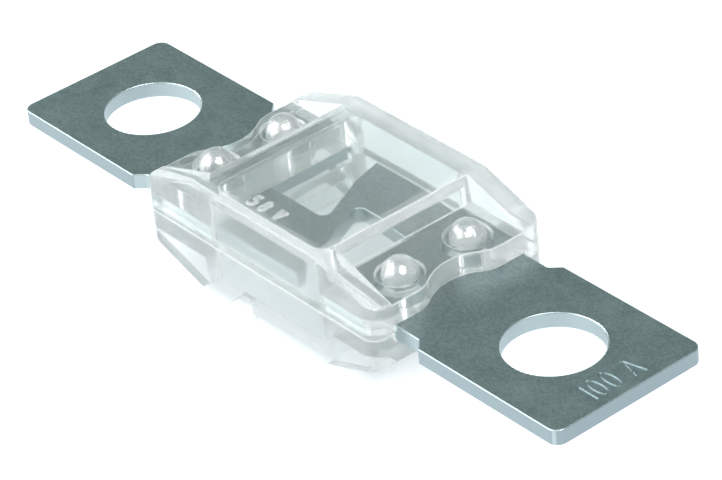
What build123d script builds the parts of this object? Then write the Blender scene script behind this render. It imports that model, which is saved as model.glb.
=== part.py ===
import os
from math import radians, tan
from build123d import *

# A bolt-in fuse: one flat metal strip with a terminal at each end, clamped between two clear
# plastic housing halves. X runs along the strip, Z is up, and Z = 0 is the housing's base.
# All sizes are in millimetres.

# Strip and terminals
hole_spacing = 51.0
bolt_hole_diameter = 8.4
terminal_outer_margin = 8.63
terminal_inner_margin = 8.05
terminal_corner_radius = 1.0
shoulder_radius = 0.4
neck_width = 13.6
shoulder_height = 0.9
strip_thickness = 1.44
strip_edge_radius = 0.12

# Melting link: two notches, one from each edge, leave a slanted bridge between them
notch_overlap = 3.1
link_width = 1.72
link_slant = 25.8
notch_bend_offset = 3.8
notch_mouth_slant = 15.0
notch_tip_radius = 0.7
notch_cover = 0.4

# Housing, as it lies about the strip
housing_length = 29.3
housing_width = 18.2
housing_corner_radius = 1.3
housing_edge_radius = 0.25
roof_length = 16.06
end_wall_height = 2.9
plate_thickness = 1.5
shelf_thickness = 2.0
shelf_width = 14.0
end_wall_top_thickness = 0.85
end_wall_foot_thickness = 1.25

# Washer clearance in the plan of each housing end
washer_recess_depth = 1.45
washer_recess_radius = 4.5
washer_recess_blend = 3.0

# Chamber around the link
chamber_length = 14.0
chamber_width = 15.2
chamber_headroom = 2.94
chamber_corner_radius = 1.3

# Pins moulded on the lower half, and their headed-over domes
pin_end_margin = 3.0
pin_spacing_y = 7.15
pin_diameter = 2.6
dome_diameter = 3.1
dome_height = 1.7
dome_seat_diameter = 4.0
dome_seat_depth = 0.25

# Gate recess in the lower half's side, with the stub that the moulding gate leaves
gate_length = 3.2
gate_height = 1.9
gate_depth = 1.1
gate_offset = -2.8
gate_slope_run = 1.95
gate_stub_offset = 0.75
gate_stub_diameter = 0.9
gate_stub_length = 0.35

# Clearances
strip_side_clearance = 0.1
strip_face_clearance = 0.03
parting_clearance = 0.03
pin_shelf_clearance = 0.06
pin_strip_clearance = 0.7
dome_seat_clearance = 0.02

# Markings
roof_mark_height = 1.25
roof_mark_stroke = 0.25
roof_mark_gap = 0.85
roof_mark_relief = 0.12
roof_mark_margin = 1.4
roof_mark_offset = -0.3
stamp_height = 2.3
stamp_stroke = 0.22
stamp_gap = 0.55
stamp_depth = 0.1
stamp_margin = 1.2

# Worked-out places
half_height = strip_thickness / 2 + chamber_headroom + plate_thickness
parting_z = half_height
strip_bottom_z = parting_z - strip_thickness / 2
strip_top_z = parting_z + strip_thickness / 2
shelf_height = strip_thickness / 2 + shelf_thickness
terminal_x = hole_spacing / 2
terminal_width = neck_width + 2 * shoulder_height
terminal_length = terminal_outer_margin + terminal_inner_margin
pin_x = housing_length / 2 - pin_end_margin
pin_places = [(side * pin_x, row * pin_spacing_y / 2) for side in (-1, 1) for row in (-1, 1)]
dome_radius = ((dome_diameter / 2) ** 2 + dome_height**2) / (2 * dome_height)
dome_seat_z = parting_z + shelf_height - dome_seat_depth


def terminal_plan():
    """One terminal about its bolt hole, with its outer end towards +X."""
    with BuildSketch() as plan:
        with Locations(((terminal_outer_margin - terminal_inner_margin) / 2, 0)):
            Rectangle(terminal_length, terminal_width)
        corners = plan.vertices().group_by(Axis.X)
        chamfer(corners[0], shoulder_height)
        outer = plan.vertices().group_by(Axis.X)[-1]
        fillet(outer, terminal_corner_radius)
    return plan.sketch


def notch_plan():
    """The notch that opens at the +Y edge; half a turn about the centre gives the other one."""
    floor_y = -notch_overlap / 2
    bend_y = notch_bend_offset
    mouth_y = neck_width
    lean = tan(radians(link_slant))
    mouth_lean = tan(radians(notch_mouth_slant))
    wall_x = -chamber_length / 2 - notch_cover
    tip_x = -link_width / 2 - lean * floor_y
    bend_x = -link_width / 2 - lean * bend_y
    mouth_x = bend_x - mouth_lean * (mouth_y - bend_y)
    with BuildSketch() as plan:
        with BuildLine():
            Polyline(
                (wall_x, mouth_y),
                (wall_x, floor_y),
                (tip_x, floor_y),
                (bend_x, bend_y),
                (mouth_x, mouth_y),
                close=True,
            )
        make_face()
        tip = plan.vertices().sort_by(Axis.Y)[:2].sort_by(Axis.X)[-1]
        fillet(tip, notch_tip_radius)
    return plan.sketch


def pin_holes(diameter):
    """Four circles at the pins' places."""
    with BuildSketch() as plan:
        with Locations(*pin_places):
            Circle(diameter / 2)
    return plan.sketch


def housing_plan():
    """Plan of a housing half, with the washer recess in both ends."""
    recess_x = housing_length / 2 - washer_recess_depth + washer_recess_radius
    with BuildSketch() as plan:
        Rectangle(housing_length, housing_width)
        with Locations((recess_x, 0), (-recess_x, 0)):
            Circle(washer_recess_radius, mode=Mode.SUBTRACT)
        inner_corners = plan.vertices().filter_by_position(Axis.Y, -housing_width / 4, housing_width / 4)
        fillet(inner_corners, washer_recess_blend)
        outer_corners = plan.vertices().filter_by(lambda v: abs(abs(v.Y) - housing_width / 2) < 0.001)
        fillet(outer_corners, housing_corner_radius)
    return plan.sketch


def housing_side():
    """Side view of a housing half above the parting plane: a flat roof that slopes down to both ends."""
    end_x = housing_length / 2
    with BuildSketch(Plane.XZ) as side:
        with BuildLine():
            Polyline(
                (-end_x, parting_clearance / 2),
                (-end_x, end_wall_height),
                (-roof_length / 2, half_height),
                (roof_length / 2, half_height),
                (end_x, end_wall_height),
                (end_x, parting_clearance / 2),
                close=True,
            )
        make_face()
    return side.sketch


def shelf_spaces():
    """Side view of the spaces above both shelves, which leave the leaning end walls of the chamber."""
    top_x = chamber_length / 2 + end_wall_top_thickness
    foot_x = chamber_length / 2 + end_wall_foot_thickness
    with BuildSketch(Plane.XZ) as side:
        with BuildLine():
            Polyline(
                (foot_x, shelf_height),
                (top_x, half_height),
                (housing_length, half_height),
                (housing_length, shelf_height),
                close=True,
            )
        make_face()
        mirror(about=Plane.YZ)
    return side.sketch


def make_shell():
    """One housing half without pins or pin holes, above a parting plane at Z = 0."""
    slot_width = neck_width + 2 * strip_side_clearance
    slot_height = strip_thickness / 2 + strip_face_clearance
    with BuildPart() as shell:
        extrude(housing_plan(), amount=half_height)
        extrude(housing_side(), amount=housing_width, both=True, mode=Mode.INTERSECT)
        top_edges = shell.edges().filter_by(lambda edge: (edge @ 0.5).Z > end_wall_height - 0.001)
        fillet(top_edges, housing_edge_radius)
        extrude(shelf_spaces(), amount=shelf_width / 2, both=True, mode=Mode.SUBTRACT)
        with BuildSketch():
            Rectangle(housing_length, slot_width)
        extrude(amount=slot_height, mode=Mode.SUBTRACT)
        with BuildSketch():
            RectangleRounded(chamber_length, chamber_width, chamber_corner_radius)
        extrude(amount=strip_thickness / 2 + chamber_headroom, mode=Mode.SUBTRACT)
    return shell.part


def character_plan(character, height, stroke):
    """One single-stroke character, with its left edge on the Y axis and its feet on the X axis."""
    lines, rings = characters[character]
    with BuildSketch() as plan:
        for line in lines:
            trace(scale(line, by=height, mode=Mode.PRIVATE), line_width=stroke)
        for x, y, width, depth in rings:
            with Locations((x * height, y * height)):
                Ellipse((width * height + stroke) / 2, (depth * height + stroke) / 2)
        for x, y, width, depth in rings:
            with Locations((x * height, y * height)):
                Ellipse((width * height - stroke) / 2, (depth * height - stroke) / 2, mode=Mode.SUBTRACT)
    return plan.sketch


def mark_plan(text, height, stroke, gap):
    """A row of characters with their feet on the X axis, centred on the Y axis."""
    advances = [
        word_space * height if character == " " else character_widths[character] * height + gap
        for character in text
    ]
    x = (gap - sum(advances)) / 2
    with BuildSketch() as row:
        for character, advance in zip(text, advances):
            if character != " ":
                with Locations((x, 0)):
                    add(character_plan(character, height, stroke))
            x += advance
    return row.sketch


# Characters for the markings, one unit high: their widths, their lines, and their rings as centre and size
word_space = 0.28
character_widths = {"0": 0.37, "1": 0.0, "5": 0.42, "8": 0.42, "A": 0.5, "V": 0.5}
characters = {
    "0": ([], [(0.185, 0.5, 0.37, 1)]),
    "1": ([Line((0, 0), (0, 1))], []),
    "5": ([Polyline((0.4, 1), (0.06, 1), (0.04, 0.55)), CenterArc((0.18, 0.3), 0.3, -140, 265)], []),
    "8": ([], [(0.21, 0.76, 0.36, 0.48), (0.21, 0.27, 0.42, 0.54)]),
    "A": ([Line((0, 0), (0.25, 1)), Line((0.25, 1), (0.5, 0)), Line((0.08, 0.33), (0.42, 0.33))], []),
    "V": ([Line((0, 1), (0.25, 0)), Line((0.25, 0), (0.5, 1))], []),
}

shell = make_shell()

# Metal strip, stamped from sheet, with the two terminals, the link and the pin holes
with BuildPart() as fuse_strip:
    with BuildSketch(Plane.XY.offset(strip_bottom_z)) as strip_plan:
        Rectangle(hole_spacing, neck_width)
        with Locations((terminal_x, 0)):
            add(terminal_plan())
        with Locations(Location((-terminal_x, 0), 180)):
            add(terminal_plan())
        shoulders = strip_plan.vertices().filter_by(lambda v: abs(abs(v.Y) - neck_width / 2) < 0.001)
        fillet(shoulders, shoulder_radius)
        with Locations((-terminal_x, 0), (terminal_x, 0)):
            Circle(bolt_hole_diameter / 2, mode=Mode.SUBTRACT)
        add(notch_plan(), mode=Mode.SUBTRACT)
        add(notch_plan().rotate(Axis.Z, 180), mode=Mode.SUBTRACT)
        add(pin_holes(pin_diameter + 2 * pin_strip_clearance), mode=Mode.SUBTRACT)
    extrude(amount=strip_thickness)
    flat_faces = fuse_strip.faces().filter_by(Axis.Z)
    fillet(flat_faces.edges(), strip_edge_radius)
    with BuildSketch(Plane.XY.offset(strip_top_z)):
        with Locations(Location((terminal_x + bolt_hole_diameter / 2 + stamp_margin + stamp_height, 0), 90)):
            add(mark_plan("100 A", stamp_height, stamp_stroke, stamp_gap))
    extrude(amount=-stamp_depth, mode=Mode.SUBTRACT)

# Upper housing half, with the pin holes, the seats of the domes and the raised rating
with BuildPart() as upper_housing:
    add(shell.moved(Location((0, 0, parting_z))))
    with BuildSketch(Plane.XY.offset(parting_z)):
        add(pin_holes(pin_diameter + 2 * pin_shelf_clearance))
    extrude(amount=half_height, mode=Mode.SUBTRACT)
    with BuildSketch(Plane.XY.offset(dome_seat_z)):
        add(pin_holes(dome_seat_diameter))
    extrude(amount=half_height, mode=Mode.SUBTRACT)
    with BuildSketch(Plane.XY.offset(parting_z + half_height)):
        with Locations((roof_mark_offset, -housing_width / 2 + roof_mark_margin)):
            add(mark_plan("58 V", roof_mark_height, roof_mark_stroke, roof_mark_gap))
    extrude(amount=roof_mark_relief)

# Lower housing half, with the domed pins and the gate recess
with BuildPart() as lower_housing:
    add(shell.mirror(Plane.XY).moved(Location((0, 0, parting_z))))
    with BuildSketch(Plane.XZ.offset(housing_width / 2 - gate_depth)):
        with BuildLine():
            Polyline(
                (gate_offset - gate_length / 2, 0),
                (gate_offset - gate_length / 2 + gate_slope_run, gate_height),
                (gate_offset + gate_length / 2, gate_height),
                (gate_offset + gate_length / 2, 0),
                close=True,
            )
        make_face()
    extrude(amount=housing_width, mode=Mode.SUBTRACT)
    with BuildSketch(Plane.XZ.offset(housing_width / 2 - gate_depth)):
        with Locations((gate_offset + gate_stub_offset, gate_height / 2)):
            Circle(gate_stub_diameter / 2)
    extrude(amount=gate_stub_length)
    with BuildSketch(Plane.XY.offset(parting_z - shelf_height)):
        add(pin_holes(pin_diameter))
    extrude(amount=2 * shelf_height - dome_seat_depth + dome_seat_clearance)
    with BuildSketch(Plane.XZ) as dome_section:
        with BuildLine():
            Line((0, 0), (dome_diameter / 2, 0))
            RadiusArc((dome_diameter / 2, 0), (0, dome_height), -dome_radius)
            Line((0, dome_height), (0, 0))
        make_face()
    dome = revolve(dome_section.sketch, Axis.Z, mode=Mode.PRIVATE)
    with Locations(*[(x, y, dome_seat_z + dome_seat_clearance) for x, y in pin_places]):
        add(dome)

os.makedirs("parts", exist_ok=True)
fuse_strip.part.label = "fuse_strip"
export_step(fuse_strip.part, "parts/fuse_strip.step")
upper_housing.part.label = "upper_housing"
export_step(upper_housing.part, "parts/upper_housing.step")
lower_housing.part.label = "lower_housing"
export_step(lower_housing.part, "parts/lower_housing.step")
for piece in (fuse_strip.part, upper_housing.part, lower_housing.part):
    print(piece.label, piece.bounding_box(), piece.volume, len(piece.solids()), piece.is_valid)
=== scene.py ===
from math import cos, radians, sin

import bpy
from mathutils import Matrix, Vector


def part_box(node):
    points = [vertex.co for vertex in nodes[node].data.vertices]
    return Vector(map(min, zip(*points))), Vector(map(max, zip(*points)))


# A bolt-in fuse on a white table, in metres, with X along its strip and Z up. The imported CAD
# pieces keep their shapes. This script gives them their materials, and adds the table, the
# light from the sky and the camera. Colours are linear red, green and blue.

MM = 0.001

# Places on the housing, which tell its domes, figures and rims apart
PIN_END_MARGIN = 3.0 * MM  # from the housing's end to the middle of its pins
PIN_SPACING = 7.15 * MM
DOME_REACH = 1.6 * MM  # a little over the domes' radius
DOME_FOOT = 7.6 * MM  # a little under the domes
RIM_FOOT = 7.93 * MM  # a little over the shelves
FIGURE_DEPTH = 0.1 * MM  # from the top of the raised figures, a little less than their height
CHAMBER_HALF_LENGTH = 7.0 * MM
CHAMBER_HALF_WIDTH = 7.6 * MM
RIM_START = (1.0, 1.04)  # as Tree.beyond gives it, where a rim's look starts and is full

# Clear plastic
PLASTIC_COLOR = (0.9, 0.936, 0.925)
PLASTIC_IOR = 1.45
PLASTIC_ROUGHNESS = (0.03, 0.07)
PLASTIC_CLEARNESS = 0.98
INNER_HAZE = 90  # how many times a metre of plastic would scatter light
INNER_HAZE_FORWARD = 0.3
SIDE_NORMAL = (0.4, 0.8)  # how far along Y a normal points, where a side's look starts and is full
SIDE_SATIN = 0.16  # how much rougher the long side walls are
RIM_MILK = 0.1  # the share of a rim that isn't clear
EDGE_RADIUS = 0.25 * MM
EDGE_SAMPLES = 4
EDGE_COSINE = (0.85, 0.98)  # between a face and its rounded edge, where the milk is full and where it ends
# Painted highlight: the edges' milk lightens the rounded edges into bright lines
EDGE_HIGHLIGHT_MILK = 0.6  # the share of an edge that isn't clear
FIGURE_ROUGHNESS = 0.5
FIGURE_CLEARNESS = 0.85
WAVE_STRENGTH = 0.25
WAVE_HEIGHT = 0.05 * MM
DOME_COAT_IOR = 2.6
DOME_COAT_ROUGHNESS = 0.3
DOME_DENT_STRENGTH = 1.0
DOME_DENT_HEIGHT = 0.2 * MM

# Plated metal
METAL_DARK = (0.305, 0.364, 0.375)
METAL_LIGHT = (0.432, 0.511, 0.522)
METAL_TONES = (0.38, 0.62)  # the noise values that get the dark and the light colour
CLOUD_SHARE = 0.25  # how much of the tone is clouds; the rest is speckle
HOLE_WALL_COLOR = (0.4, 0.475, 0.49)
# The outer cut edges are darker than the hole walls: painted shade
CUT_EDGE_SHADE_COLOR = (0.27, 0.33, 0.35)
CUT_EDGE_START = 0.99  # as Tree.beyond gives it; walls further in have the hole walls' colour
FACE_NORMAL = (0.3, 0.9)  # how far along Z a normal points, where a wall's look ends and a face's is full
METAL_ROUGHNESS = (0.35, 0.4)
ROUGHNESS_CLOUDS = (0.3, 0.7)  # the noise values that get those two
SCRATCH_SHARE = 0.5
GRAIN_STRENGTH = 0.2
GRAIN_HEIGHT = 0.004 * MM

# Camera: where it looks, from which direction, and how long its lens is
CAMERA_AIM = Vector((1.64, 0.49, 4.36)) * MM
CAMERA_AZIMUTH = 52.9
CAMERA_ELEVATION = 33.64
CAMERA_ROLL = -5.69
CAMERA_DISTANCE = 303.2 * MM
CAMERA_LENS_MM = 185.0
CAMERA_SENSOR_MM = 36.0
CAMERA_NEAR = 10 * MM

# Table
TABLE_SIZE = 3.0
TABLE_COLOR = (0.2, 0.205, 0.205)
TABLE_ROUGHNESS = 0.6
TABLE_GLOW_COLOR = (0.9, 0.96, 1.0)
TABLE_GLOW = 1.05
# Painted shadow under the housing: the table glows less there, and the range below is that shadow's soft
# edge
TABLE_GLOW_IN_PAINTED_SHADOW = 0.7
TABLE_PAINTED_SHADOW_EDGE = (0.8, 1.05)  # from where the glow rises to where it is full, as Tree.beyond gives it

# Sky: the room's colour, and patches of other colours. Each patch has the direction to its middle,
# the half-angles in degrees of its soft edge and of its full colour, and that colour.
ROOM_COLOR = (0.54, 0.56, 0.57)
SKY_PATCHES = (
    ((-0.664, 0.502, 0.554), 46, 24, (0.285, 0.365, 0.35)),
    ((-0.505, -0.758, 0.413), 44, 34, (4.5, 4.5, 4.5)),
    ((0.59, -0.10, 0.79), 22, 13, (10, 10, 10)),
)

# How many times light bounces: clear walls behind each other need many
CLEAR_BOUNCES = 128
HAZE_BOUNCES = 24


class Tree:
    """The nodes of one material or world, which short calls add and join."""

    def __init__(self, owner):
        owner.use_nodes = True
        self.nodes = owner.node_tree.nodes
        self.links = owner.node_tree.links

    def fill(self, node, inputs):
        """Set a node's inputs, each to another node's output or to a number, vector or colour."""
        for name, value in inputs.items():
            socket = node.inputs[name]
            if isinstance(value, bpy.types.NodeSocket):
                self.links.new(value, socket)
            elif socket.type == "RGBA":
                socket.default_value = (*value, 1)
            else:
                socket.default_value = value

    def add(self, kind, inputs=None):
        """A new node with these inputs."""
        node = self.nodes.new("ShaderNode" + kind)
        self.fill(node, inputs or {})
        return node

    def calculate(self, operation, first, second=0.0):
        """What one maths node makes of values or numbers."""
        node = self.add("Math", {0: first, 1: second})
        node.operation = operation
        return node.outputs["Value"]

    def spread(self, value, low, high, from_low=0.0, from_high=1.0, smooth=False):
        """The value moved from one range to another, and held inside it."""
        ends = {"From Min": from_low, "From Max": from_high, "To Min": low, "To Max": high}
        node = self.add("MapRange", {"Value": value, **ends})
        if smooth:
            node.interpolation_type = "SMOOTHSTEP"
        return node.outputs["Result"]

    def other_than(self, share):
        """1 where the share is 0, and 0 where it is 1."""
        return self.spread(share, 1, 0)

    def blend(self, share, first, second):
        """A colour between two colours."""
        node = self.add("Mix")
        node.data_type = "RGBA"
        self.fill(node, {0: share, 6: first, 7: second})
        return node.outputs[2]

    def dot(self, first, second):
        """The dot product of two vectors."""
        node = self.add("VectorMath", {0: first, 1: second})
        node.operation = "DOT_PRODUCT"
        return node.outputs["Value"]

    def along(self, vector, axis):
        """How far a vector reaches along an axis, either way."""
        reach = self.add("SeparateXYZ", {0: vector}).outputs[axis]
        return self.calculate("ABSOLUTE", reach)

    def above(self, place, height):
        """1 above the height and 0 below."""
        z = self.add("SeparateXYZ", {0: place}).outputs["Z"]
        return self.calculate("GREATER_THAN", z, height)

    def beyond(self, place, half_length, half_width):
        """How far out a place is from a box about the origin in plan: 1 on its walls, more outside."""
        across = [
            self.calculate("DIVIDE", self.along(place, axis), half)
            for axis, half in (("X", half_length), ("Y", half_width))
        ]
        return self.calculate("MAXIMUM", *across)

    def noise(self, place, scale, detail, roughness=0.5, stretch=(1, 1, 1)):
        """A noise value at the place, scale in waves per metre."""
        mapping = self.add("Mapping", {"Vector": place, "Scale": stretch})
        grain = {"Scale": scale, "Detail": detail, "Roughness": roughness}
        return self.add("TexNoise", {"Vector": mapping.outputs["Vector"], **grain}).outputs["Fac"]

    def bump(self, height, strength, distance, normal=None):
        """The normal of a bumpy surface. It starts from the given normal, or from the surface's own."""
        node = self.add("Bump", {"Height": height, "Strength": strength, "Distance": distance})
        if normal is not None:
            self.fill(node, {"Normal": normal})
        return node.outputs["Normal"]


def new_material(name):
    """A new material, its tree and its principled shader."""
    material = bpy.data.materials.new(name)
    tree = Tree(material)
    return material, tree, tree.nodes["Principled BSDF"]


def in_domes(tree, place):
    """1 inside the domes on top of the four pins, 0 elsewhere."""
    pin_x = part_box("lower_housing")[1].x - PIN_END_MARGIN
    across = [
        tree.calculate("SUBTRACT", tree.along(place, axis), middle)
        for axis, middle in (("X", pin_x), ("Y", PIN_SPACING / 2))
    ]
    squares = [tree.calculate("MULTIPLY", value, value) for value in across]
    distance = tree.calculate("SQRT", tree.calculate("ADD", *squares))
    beside = tree.calculate("LESS_THAN", distance, DOME_REACH)
    return tree.calculate("MULTIPLY", beside, tree.above(place, DOME_FOOT))


def clear_plastic():
    """Clear moulded plastic: hazy inside, satin side walls, frosted figures, edges milky as a painted
    highlight, glossy domes.
    """
    material, tree, shader = new_material("clear_plastic")
    place = tree.add("TexCoord").outputs["Object"]
    normal = tree.add("NewGeometry").outputs["True Normal"]
    bevel = tree.add("Bevel", {"Radius": EDGE_RADIUS})
    bevel.samples = EDGE_SAMPLES
    rounded = bevel.outputs["Normal"]

    domes = in_domes(tree, place)
    not_domes = tree.other_than(domes)
    figures = tree.above(place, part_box("upper_housing")[1].z - FIGURE_DEPTH)
    sides = tree.spread(tree.along(normal, "Y"), 0, 1, *SIDE_NORMAL)
    rims = tree.spread(tree.beyond(place, CHAMBER_HALF_LENGTH, CHAMBER_HALF_WIDTH), 0, 1, *RIM_START)
    for share in (tree.above(place, RIM_FOOT), not_domes, tree.other_than(sides)):
        rims = tree.calculate("MULTIPLY", rims, share)
    # The rounded edges, which get milk below as a painted highlight
    edges = tree.spread(tree.dot(rounded, normal), 1, 0, *EDGE_COSINE)
    edges = tree.calculate("MULTIPLY", edges, tree.other_than(figures))

    blotches = tree.noise(place, scale=900, detail=4)
    satin = tree.calculate("MULTIPLY", tree.spread(sides, 0, SIDE_SATIN), not_domes)
    roughness = tree.calculate("ADD", tree.spread(blotches, *PLASTIC_ROUGHNESS), satin)
    frost = tree.calculate("MULTIPLY", figures, FIGURE_ROUGHNESS)
    rim_milk = tree.calculate("MULTIPLY", rims, RIM_MILK)
    edge_highlight_milk = tree.calculate("MULTIPLY", edges, EDGE_HIGHLIGHT_MILK)
    # The milk holds the rims' milk and the edges' painted highlight
    milk = tree.calculate("ADD", rim_milk, edge_highlight_milk)
    clearness = tree.spread(figures, PLASTIC_CLEARNESS, FIGURE_CLEARNESS)
    waves = tree.noise(place, scale=260, detail=2)
    dents = tree.noise(place, scale=1100, detail=2)
    tree.fill(shader, {
        "Base Color": PLASTIC_COLOR,
        "IOR": PLASTIC_IOR,
        "Roughness": tree.calculate("MAXIMUM", roughness, frost),
        "Transmission Weight": tree.calculate("SUBTRACT", clearness, milk),
        "Normal": tree.bump(waves, WAVE_STRENGTH, WAVE_HEIGHT, rounded),
        "Coat Weight": domes,
        "Coat IOR": DOME_COAT_IOR,
        "Coat Roughness": DOME_COAT_ROUGHNESS,
        "Coat Normal": tree.bump(dents, DOME_DENT_STRENGTH, DOME_DENT_HEIGHT),
    })
    haze = tree.add("VolumeScatter", {
        "Color": (1, 1, 1),
        "Density": INNER_HAZE,
        "Anisotropy": INNER_HAZE_FORWARD,
    })
    tree.fill(tree.nodes["Material Output"], {"Volume": haze.outputs["Volume"]})
    return material


def plated_metal():
    """Dull zinc plating: speckle over faint clouds, grain along X, fine scratches, plainer walls, and
    painted shade on the outer cut edges.
    """
    material, tree, shader = new_material("plated_metal")
    place = tree.add("TexCoord").outputs["Object"]
    normal = tree.add("NewGeometry").outputs["True Normal"]
    clouds = tree.noise(place, scale=420, detail=4, roughness=0.6)
    speckle = tree.noise(place, scale=4500, detail=2, roughness=0.6)
    grain = tree.noise(place, scale=2600, detail=3, roughness=0.6, stretch=(0.4, 1, 1))
    scratches = tree.noise(place, scale=5000, detail=2, stretch=(1, 0.1, 1))

    tone = tree.calculate("ADD", tree.calculate("MULTIPLY", clouds, CLOUD_SHARE),
                          tree.calculate("MULTIPLY", speckle, 1 - CLOUD_SHARE))
    face = tree.blend(tree.spread(tone, 0, 1, *METAL_TONES), METAL_DARK, METAL_LIGHT)
    outline = tree.beyond(place, *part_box("fuse_strip")[1].xy)
    # Painted shade: the outer cut edges get the darker colour
    shaded_cut_edges = tree.calculate("GREATER_THAN", outline, CUT_EDGE_START)
    wall = tree.blend(shaded_cut_edges, HOLE_WALL_COLOR, CUT_EDGE_SHADE_COLOR)
    upright = tree.spread(tree.along(normal, "Z"), 1, 0, *FACE_NORMAL)
    lines = tree.calculate("ADD", grain, tree.calculate("MULTIPLY", scratches, SCRATCH_SHARE))
    tree.fill(shader, {
        "Base Color": tree.blend(upright, face, wall),
        "Metallic": 1.0,
        "Roughness": tree.spread(clouds, *METAL_ROUGHNESS, *ROUGHNESS_CLOUDS),
        "Normal": tree.bump(lines, GRAIN_STRENGTH, GRAIN_HEIGHT),
    })
    return material


def give_material(objects, material):
    """Put one material on every slot of the objects."""
    for obj in objects:
        for slot in obj.material_slots:
            slot.material = material


def add_table():
    """The white table top. It glows like a light table, with a painted shadow where it glows less under
    the housing.
    """
    bpy.ops.mesh.primitive_plane_add(size=TABLE_SIZE)
    table = bpy.context.object
    table.name = "table"
    material, tree, shader = new_material("table_white")
    place = tree.add("TexCoord").outputs["Object"]
    outside = tree.beyond(place, *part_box("lower_housing")[1].xy)
    tree.fill(shader, {
        "Base Color": TABLE_COLOR,
        "Roughness": TABLE_ROUGHNESS,
        "Emission Color": TABLE_GLOW_COLOR,
        # The glow is lowered under the housing: a painted shadow
        "Emission Strength": tree.spread(outside, TABLE_GLOW_IN_PAINTED_SHADOW, TABLE_GLOW, *TABLE_PAINTED_SHADOW_EDGE),
    })
    table.data.materials.append(material)


def add_sky():
    """A grey room with one darker and two bright patches, all painted on the sky by direction."""
    world = bpy.data.worlds.new("studio")
    bpy.context.scene.world = world
    tree = Tree(world)
    tree.nodes.clear()
    direction = tree.add("TexCoord").outputs["Generated"]
    color = ROOM_COLOR
    for middle, edge, core, patch_color in SKY_PATCHES:
        closeness = tree.dot(direction, Vector(middle).normalized())
        share = tree.spread(closeness, 0, 1, cos(radians(edge)), cos(radians(core)), smooth=True)
        color = tree.blend(share, color, patch_color)
    background = tree.add("Background", {"Color": color})
    tree.add("OutputWorld", {"Surface": background.outputs["Background"]})


def add_camera():
    """The camera, turned about its own axis by the roll."""
    azimuth, elevation, roll = radians(CAMERA_AZIMUTH), radians(CAMERA_ELEVATION), radians(CAMERA_ROLL)
    back = Vector((sin(azimuth) * cos(elevation), -cos(azimuth) * cos(elevation), sin(elevation)))
    level = Vector((cos(azimuth), sin(azimuth), 0))
    upright = back.cross(level)
    right = cos(roll) * level + sin(roll) * upright
    up = back.cross(right)
    data = bpy.data.cameras.new("camera")
    data.lens = CAMERA_LENS_MM
    data.sensor_width = CAMERA_SENSOR_MM
    data.clip_start = CAMERA_NEAR
    camera = bpy.data.objects.new("camera", data)
    bpy.context.scene.collection.objects.link(camera)
    turn = Matrix((right, up, back)).transposed()
    camera.matrix_world = Matrix.Translation(CAMERA_AIM + CAMERA_DISTANCE * back) @ turn.to_4x4()
    bpy.context.scene.camera = camera


def set_rendering():
    """Plain colours, and enough bounces for light to get through the clear walls."""
    scene = bpy.context.scene
    scene.view_settings.view_transform = "Standard"
    scene.cycles.max_bounces = CLEAR_BOUNCES
    scene.cycles.transmission_bounces = CLEAR_BOUNCES
    scene.cycles.glossy_bounces = CLEAR_BOUNCES
    scene.cycles.volume_bounces = HAZE_BOUNCES


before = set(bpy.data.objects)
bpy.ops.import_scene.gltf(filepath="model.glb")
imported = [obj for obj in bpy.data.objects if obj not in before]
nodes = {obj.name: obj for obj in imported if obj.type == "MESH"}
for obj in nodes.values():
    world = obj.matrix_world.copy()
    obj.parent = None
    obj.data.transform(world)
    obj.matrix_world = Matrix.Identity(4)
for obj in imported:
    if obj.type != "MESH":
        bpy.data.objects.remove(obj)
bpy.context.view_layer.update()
give_material([nodes["upper_housing"], nodes["lower_housing"]], clear_plastic())
give_material([nodes["fuse_strip"]], plated_metal())
add_table()
add_sky()
add_camera()
set_rendering()
